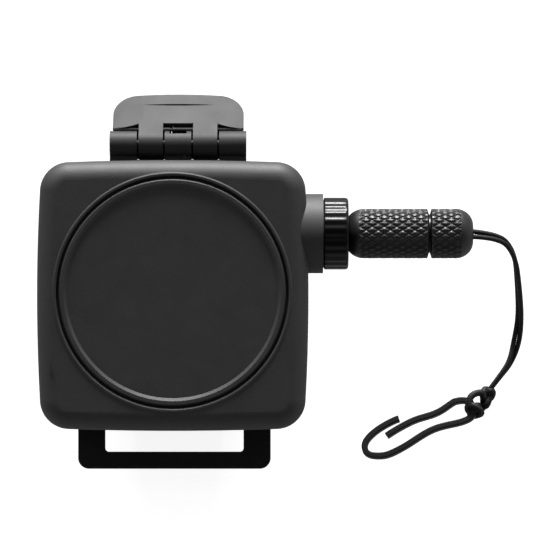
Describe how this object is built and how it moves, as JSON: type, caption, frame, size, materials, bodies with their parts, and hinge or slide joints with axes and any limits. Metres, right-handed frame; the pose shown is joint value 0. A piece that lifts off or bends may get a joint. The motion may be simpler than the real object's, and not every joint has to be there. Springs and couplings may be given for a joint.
{
  "type": "retractable gear tether",
  "caption": "Spring-wound gear tether in a rounded square case, with a belt clamp clip, webbing loop, screw-apart knurled end fitting and a cord lanyard with a snap hook.",
  "frame": {"origin": "on the flat back of the clip's jaw, under the reel's axis, which is also the surface it lies on", "axes": "+X the way the tether is pulled, +Y towards the clip's thumb tab, +Z out of the round cover"},
  "size_m": [0.1171, 0.0908, 0.0309],
  "materials": {
    "case_nylon": "fine moulded grain, matte",
    "cover_nylon": "fine moulded grain, matte",
    "clip_nylon": "matte",
    "pad_rubber": "matte",
    "washer_rubber": "matte",
    "loop_steel": "matte powder coat",
    "pin_steel": "ground",
    "screw_steel": "black oxide",
    "spring_steel": "blued",
    "cover_steel": "plain",
    "bearing_acetal": "plain",
    "ring_acetal": "polished black",
    "reel_acetal": "satin",
    "bushing_brass": "plain",
    "ferrule_brass": "plain",
    "tether_cord": "braided",
    "lanyard_cord": "braided",
    "grip_aluminium": "black anodised, knurled",
    "hook_steel": "black coated spring wire"
  },
  "bodies": {
    "case": {"front_case": "case_nylon", "rear_case": "case_nylon", "face_cover": "cover_nylon", "arbor": "pin_steel", "arbor_screw": "screw_steel", "power_spring": "spring_steel", "thrust_washer": "bearing_acetal", "line_guide": "bearing_acetal", "nozzle_washer": "washer_rubber", "nozzle_ring": "ring_acetal", "strap_loop": "loop_steel", "clip_base": "clip_nylon", "clip_pin": "screw_steel", "clip_spring": "spring_steel", "case_screws": "screw_steel", "base_screws": "screw_steel"},
    "reel": {"spool": "reel_acetal", "spool_flange": "reel_acetal", "spool_bushing": "bushing_brass", "spring_cover": "cover_steel", "wound_line": "tether_cord"},
    "lever": {"clip_lever": "clip_nylon", "jaw_pad": "pad_rubber"},
    "tether": {"tether_line": "tether_cord", "barrel_grip": "grip_aluminium", "line_ferrule": "ferrule_brass", "barrel_stud": "pin_steel", "barrel_washer": "ring_acetal"},
    "swivel": {"cord_anchor": "ring_acetal", "lanyard_strand_a": "lanyard_cord", "lanyard_strand_b": "lanyard_cord", "stopper_knot": "lanyard_cord", "hitch_knot": "lanyard_cord", "hook_frame": "hook_steel"},
    "cap": {"barrel_cap": "grip_aluminium"},
    "gate": {"hook_gate": "hook_steel"}
  },
  "joints": [
    {"name": "tether_pull", "type": "slide", "parent": "case", "child": "tether", "axis": [1, 0, 0], "range_m": [0, 0.6], "stiffness_N_per_m": 5, "springref_m": -0.5},
    {"name": "reel_spin", "type": "hinge", "parent": "case", "child": "reel", "pos_m": [0, 0, 0.0202], "axis": [0, 0, 1], "range_deg": [-2460, 0]},
    {"name": "clip_squeeze", "type": "hinge", "parent": "case", "child": "lever", "pos_m": [0.00085, 0.0358, 0.0087], "axis": [1, 0, 0], "range_deg": [0, 18], "stiffness_Nm_per_rad": 0.6, "springref_deg": -28.65},
    {"name": "cap_travel", "type": "slide", "parent": "tether", "child": "swivel", "axis": [1, 0, 0], "range_m": [0, 0.0048]},
    {"name": "cap_turn", "type": "hinge", "parent": "swivel", "child": "cap", "pos_m": [0.0667, 0.014, 0.0202], "axis": [1, 0, 0], "range_deg": [0, 2160]},
    {"name": "gate_press", "type": "hinge", "parent": "swivel", "child": "gate", "pos_m": [0.06728, -0.02727, 0.00207], "axis": [-0.125, 0.3531, 0.9272], "range_deg": [0, 6], "stiffness_Nm_per_rad": 0.08, "springref_deg": -2.86}
  ],
  "couplings": [
    {"joint": "reel_spin", "follows": "tether_pull", "rad_per_m": -71.429},
    {"joint": "cap_turn", "follows": "cap_travel", "rad_per_m": 7854}
  ]
}
